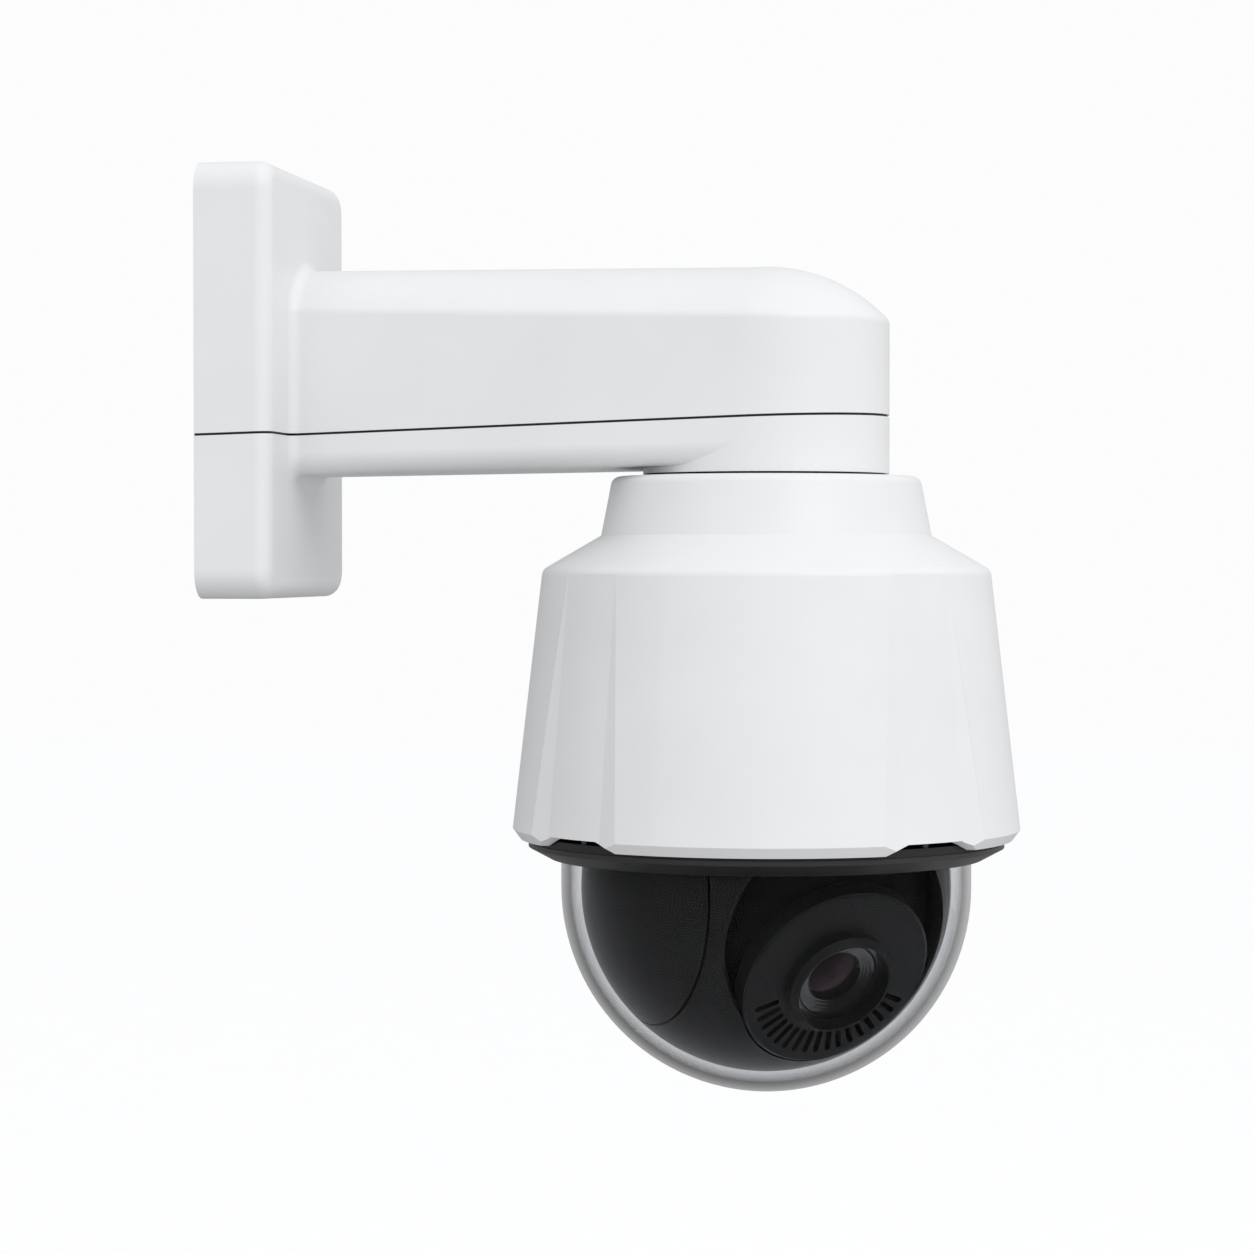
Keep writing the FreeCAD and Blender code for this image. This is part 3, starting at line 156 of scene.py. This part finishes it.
def clear_glass(name, shades, ior, mirror_tint, mirror, slants):
    """Clear body that bends the view; its coating mirrors faintly head-on and more at a slant."""
    material, tree, shader = new_material(name)
    links = tree.links
    tree.nodes.remove(shader)
    bend = add_node(tree, "ShaderNodeBsdfRefraction", Roughness=0.0, IOR=ior)
    links.new(tint(tree, noise(tree, 60.0, 2.0), *shades), bend.inputs["Color"])
    gloss = add_node(tree, "ShaderNodeBsdfGlossy", Roughness=0.0)
    gloss.inputs["Color"].default_value = (*mirror_tint, 1)
    slant = add_node(tree, "ShaderNodeLayerWeight", Blend=0.5)
    edge = spread(tree, slant.outputs["Facing"], *mirror, taken=slants)
    edge.interpolation_type = "SMOOTHSTEP"
    mix = tree.nodes.new("ShaderNodeMixShader")
    links.new(edge.outputs["Result"], mix.inputs["Fac"])
    links.new(bend.outputs["BSDF"], mix.inputs[1])
    links.new(gloss.outputs["BSDF"], mix.inputs[2])
    links.new(mix.outputs["Shader"], tree.nodes["Material Output"].inputs["Surface"])
    return material


def clear_dome():
    """Faintly smoked polycarbonate with an anti-glare coating: its wall greys where it is seen edge-on."""
    material = clear_glass("clear_polycarbonate", ((0.93, 0.94, 0.95), (0.95, 0.955, 0.96)), ior=1.45,
                           mirror_tint=(0.88, 0.88, 0.885), mirror=(0.003, 1.0), slants=(0.5, 0.93))
    tree = material.node_tree
    smoke = add_node(tree, "ShaderNodeVolumeAbsorption", Density=72.0)
    smoke.inputs["Color"].default_value = (0.5, 0.5, 0.5, 1)
    tree.links.new(smoke.outputs["Volume"], tree.nodes["Material Output"].inputs["Volume"])
    return material


def coated_glass():
    """Lens glass with a dim violet coating."""
    return clear_glass("coated_lens_glass", ((0.86, 0.88, 0.9), (0.9, 0.88, 0.91)), ior=1.5,
                       mirror_tint=(0.7, 0.5, 0.56), mirror=(0.007, 0.15), slants=(0.1, 0.8))


def circuit_board():
    """Green solder mask with a pattern of fine copper lines."""
    material, tree, shader = new_material("circuit_board")
    place = tree.nodes.new("ShaderNodeTexCoord")
    brick = add_node(tree, "ShaderNodeTexBrick", Scale=420.0)
    brick.inputs["Color1"].default_value = (0.015, 0.11, 0.045, 1)
    brick.inputs["Color2"].default_value = (0.02, 0.14, 0.06, 1)
    brick.inputs["Mortar"].default_value = (0.12, 0.2, 0.06, 1)
    tree.links.new(place.outputs["Object"], brick.inputs["Vector"])
    tree.links.new(brick.outputs["Color"], shader.inputs["Base Color"])
    shader.inputs["Roughness"].default_value = 0.35
    bumpy(tree, shader, brick.outputs["Fac"], 0.2, 0.00003)
    return material


MATERIALS = {
    "white_paint": white_paint(),
    "steel": metal("zinc_steel", 0.55, (0.25, 0.4)),
    "screw_steel": metal("stainless_screw", 0.5, (0.2, 0.34), EVEN),
    "bearing_steel": metal("bearing_steel", 0.7, (0.08, 0.16), EVEN),
    "aluminium": metal("cast_aluminium", 0.62, (0.35, 0.5)),
    "brass": surface("brass", ((0.66, 0.45, 0.16), (0.72, 0.5, 0.2)), (0.22, 0.36),
                     metallic=1.0, grain=500.0),
    "motor_metal": surface("motor_can", ((0.05, 0.05, 0.055), (0.08, 0.08, 0.085)), (0.35, 0.5),
                           metallic=0.6),
    "barrel_metal": black_plastic("anodised_black", 0.01, (0.14, 0.18),
                                  sheen=0.9, grain=1500.0, relief=0.000001),
    "black_rubber": black_plastic("black_rubber", 0.012, (0.6, 0.78),
                                  sheen=0.4, grain=900.0, relief=0.00004),
    "black_plastic": black_plastic("black_plastic", 0.01, (0.4, 0.55), sheen=0.3),
    "ball_plastic": black_plastic("ball_gloss_black", 0.006, (0.3, 0.4),
                                  sheen=0.16, grain=1500.0, relief=0.000002),
    "face_plastic": black_plastic("lens_face_black", 0.009, (0.42, 0.5),
                                  sheen=0.16, grain=1500.0, relief=0.000003),
    "ring_plastic": black_plastic("ring_black", 0.014, (0.38, 0.48), sheen=0.4),
    "black_housing": black_plastic("housing_black", 0.012, (0.42, 0.56), sheen=0.3),
    "white_gear": surface("gear_nylon", ((0.72, 0.71, 0.66), (0.78, 0.77, 0.72)), (0.4, 0.5)),
    "circuit_board": circuit_board(),
    "cowl_plastic": black_plastic("cowl_dull_black", 0.003, (0.75, 0.9), sheen=0.08),
    "black_screw": metal("black_oxide_screw", 0.06, (0.3, 0.42), EVEN),
    "clear_dome": clear_dome(),
    "lens_glass": coated_glass(),
}


def dress_cad_nodes():
    """Every CAD node keeps its shape and takes its slot's procedural finish."""
    slots = {part["node"]: part["material_slot"] for part in frame["record"]["subparts"]}
    for name, obj in NODES.items():
        obj.data.materials.clear()
        obj.data.materials.append(MATERIALS[slots[name]])
        for polygon in obj.data.polygons:
            polygon.material_index = 0


# ---------------------------------------------------------------- detailed pieces
# Millimetres. Distances run from the ball's centre along the lens axis.
BAFFLE_FRONT = 60.6
BAFFLE_BACK = 57.7
BAFFLE_OUTER = 14.9
BAFFLE_INNER = 10.4
BAFFLE_RIM = 0.5
BAFFLE_TAPER = 1.2
BAFFLE_STEPS = 4
IRIS_DISTANCE = 33.0
IRIS_HOUSING = 15.0
IRIS_OPENING = 4.0
IRIS_BLADES = 8
IRIS_RIM_GAP = 0.1
IRIS_TIP_GAP = 0.6
BLADE_THICKNESS = 0.12
BLADE_STAGGER = 0.13
BLADE_SWEEP = 1.5
BLADE_LEAN = 0.1
BLADE_STEPS = 20
RING_SIDES = 128


def lens_frame():
    """Lens along +X with the ball's centre at the origin, in millimetres, placed as the part is at rest."""
    forward = Vector(JOINTS["zoom"]["axis"]).normalized()
    across = Vector(JOINTS["tilt"]["axis"]).normalized()
    up = forward.cross(across)
    turn = Matrix((forward, across, up)).transposed().to_4x4()
    return Matrix.Translation(JOINTS["tilt"]["pos_m"]) @ turn @ Matrix.Scale(MM, 4)


def add_piece(name, points, faces, placing, body, slot, replaced):
    """Closed mesh that rides a body in place of one CAD node."""
    mesh = bpy.data.meshes.new(name)
    mesh.from_pydata([placing @ Vector(point) for point in points], [], faces)
    mesh.validate()
    piece = bpy.data.objects.new(name, mesh)
    bpy.context.scene.collection.objects.link(piece)
    mesh.materials.append(MATERIALS[slot])
    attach(piece, body)
    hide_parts(replaced)


def turned_x(outline):
    """Ring turned about X from a closed outline of (distance along X, radius) points."""
    points, faces = [], []
    count = len(outline)
    for side in range(RING_SIDES):
        angle = 2 * math.pi * side / RING_SIDES
        points += [(along, radius * math.cos(angle), radius * math.sin(angle)) for along, radius in outline]
    for side in range(RING_SIDES):
        here, there = side * count, (side + 1) % RING_SIDES * count
        for i in range(count):
            j = (i + 1) % count
            faces.append((here + i, here + j, there + j, there + i))
    return points, faces


def lens_baffle():
    """Stepped black cone in front of the glass."""
    depth = (BAFFLE_FRONT - BAFFLE_BACK) / BAFFLE_STEPS
    rise = (BAFFLE_OUTER - BAFFLE_RIM - BAFFLE_INNER) / BAFFLE_STEPS
    outline = [(BAFFLE_BACK, BAFFLE_INNER)]
    for step in range(BAFFLE_STEPS):
        radius = BAFFLE_INNER + step * rise
        front = BAFFLE_BACK + (step + 1) * depth
        outline += [(front, radius), (front, radius + rise)]
    outline += [(BAFFLE_FRONT, BAFFLE_OUTER), (BAFFLE_BACK, BAFFLE_OUTER - BAFFLE_TAPER)]
    points, faces = turned_x(outline)
    add_piece("lens_baffle", points, faces, lens_frame(), "tilt_unit", "barrel_metal", "front_lens_ring")


def iris_blade(turn, low):
    """Curved blade from the opening out to the housing: four points at each step of its sweep."""
    points = []
    outer = IRIS_HOUSING - IRIS_RIM_GAP
    for step in range(BLADE_STEPS + 1):
        share = step / BLADE_STEPS
        inner = IRIS_OPENING + (IRIS_HOUSING - IRIS_OPENING - IRIS_TIP_GAP) * share ** 2
        angle = turn + share * BLADE_SWEEP
        for radius, place in ((inner, angle), (outer, angle + BLADE_LEAN)):
            for along in (low, low + BLADE_THICKNESS):
                points.append((along, radius * math.cos(place), radius * math.sin(place)))
    return points


def iris_blades():
    """Overlapping curved blades round a small opening, every second one a little further forward."""
    points, faces = [], []
    for blade in range(IRIS_BLADES):
        start = len(points)
        points += iris_blade(2 * math.pi * blade / IRIS_BLADES, IRIS_DISTANCE + BLADE_STAGGER * (blade % 2))
        for step in range(BLADE_STEPS):
            a, b = start + 4 * step, start + 4 * step + 4
            faces += [(a, a + 2, b + 2, b), (a + 1, b + 1, b + 3, a + 3)]
            faces += [(a, b, b + 1, a + 1), (a + 2, a + 3, b + 3, b + 2)]
        end = start + 4 * BLADE_STEPS
        faces += [(start, start + 1, start + 3, start + 2), (end, end + 2, end + 3, end + 1)]
    add_piece("iris_blades", points, faces, lens_frame(), "tilt_unit", "barrel_metal", "iris_plate")


# ---------------------------------------------------------------- camera, floor and light
# Lens and sensor in millimetres, places and lengths in metres, turns in degrees, power in watts.
LENS_LENGTH = 95.3914
SENSOR_WIDTH = 36.0
CAMERA_PLACE = Vector((0.3592, -1.2411, -0.0662))
CAMERA_YAW = 9.432
CAMERA_PITCH = -1.172
CAMERA_REACH = (0.05, 60.0)
FLOOR_HALF = 14.0
FLOOR_HEIGHT = -0.95
SKY_COLOUR = (0.985, 0.99, 1.0, 1)
SKY_SEEN = (0.975, 0.977, 0.98, 1)
SKY_STRENGTH = 0.74
SKY_SLOPE = (0.17, -0.2, 0.34)
KEY_PLACE = (1.7, -1.5, 1.5)
KEY_SIZE = (1.6, 1.6)
KEY_POWER = 12.0


def make_camera():
    """Long lens in front of the part and a little to its right, turned toward it."""
    data = bpy.data.cameras.new("camera")
    data.sensor_width = SENSOR_WIDTH
    data.lens = LENS_LENGTH
    data.clip_start, data.clip_end = CAMERA_REACH
    camera = bpy.data.objects.new("camera", data)
    camera.location = CAMERA_PLACE
    camera.rotation_euler = (math.radians(90 + CAMERA_PITCH), 0, math.radians(CAMERA_YAW))
    bpy.context.scene.collection.objects.link(camera)
    bpy.context.scene.camera = camera


def make_floor():
    """Plain pale floor well below the hanging part, with a faint glow of its own."""
    sides = ((-1, -1), (1, -1), (1, 1), (-1, 1))
    corners = [(x * FLOOR_HALF, y * FLOOR_HALF, FLOOR_HEIGHT) for x, y in sides]
    mesh = bpy.data.meshes.new("floor")
    mesh.from_pydata(corners, [], [(0, 1, 2, 3)])
    floor = bpy.data.objects.new("floor", mesh)
    floor.visible_diffuse = False
    floor.visible_glossy = False
    bpy.context.scene.collection.objects.link(floor)
    paint = surface("pale_floor", ((0.965, 0.965, 0.965), (0.975, 0.975, 0.975)), (0.9, 1.0),
                    grain=40.0, Specular_IOR_Level=0.0, Emission_Strength=0.05)
    mesh.materials.append(paint)


def make_world():
    """Soft studio dome: brighter above, in front and to the right, and a plain pale grey to the camera."""
    world = bpy.data.worlds.new("studio")
    bpy.context.scene.world = world
    world.use_nodes = True
    tree = world.node_tree
    background = tree.nodes["Background"]
    place = tree.nodes.new("ShaderNodeTexCoord")
    slope = tree.nodes.new("ShaderNodeVectorMath")
    slope.operation = "DOT_PRODUCT"
    slope.inputs[1].default_value = SKY_SLOPE
    lift = tree.nodes.new("ShaderNodeMath")
    lift.operation = "ADD"
    lift.inputs[1].default_value = SKY_STRENGTH
    sight = tree.nodes.new("ShaderNodeLightPath")
    plain = add_node(tree, "ShaderNodeBackground", Strength=1.0)
    plain.inputs["Color"].default_value = SKY_SEEN
    mix = tree.nodes.new("ShaderNodeMixShader")
    links = tree.links
    links.new(place.outputs["Generated"], slope.inputs[0])
    links.new(slope.outputs["Value"], lift.inputs[0])
    links.new(lift.outputs["Value"], background.inputs["Strength"])
    background.inputs["Color"].default_value = SKY_COLOUR
    links.new(sight.outputs["Is Camera Ray"], mix.inputs["Fac"])
    links.new(background.outputs["Background"], mix.inputs[1])
    links.new(plain.outputs["Background"], mix.inputs[2])
    links.new(mix.outputs["Shader"], tree.nodes["World Output"].inputs["Surface"])


def make_key_light():
    """Large soft panel aimed at the middle of the part."""
    data = bpy.data.lights.new("key_panel", "AREA")
    data.shape = "RECTANGLE"
    data.size, data.size_y = KEY_SIZE
    data.energy = KEY_POWER
    light = bpy.data.objects.new("key_panel", data)
    light.location = KEY_PLACE
    middle = (cad_box[0] + cad_box[1]) / 2
    light.rotation_euler = (middle - Vector(KEY_PLACE)).to_track_quat("-Z", "Y").to_euler()
    bpy.context.scene.collection.objects.link(light)


def make_stage():
    """Floor, studio dome, one soft light and plain colour handling."""
    make_floor()
    make_world()
    make_key_light()
    bpy.context.scene.view_settings.view_transform = "Standard"


make_camera()
make_stage()
dress_cad_nodes()
lens_baffle()
iris_blades()
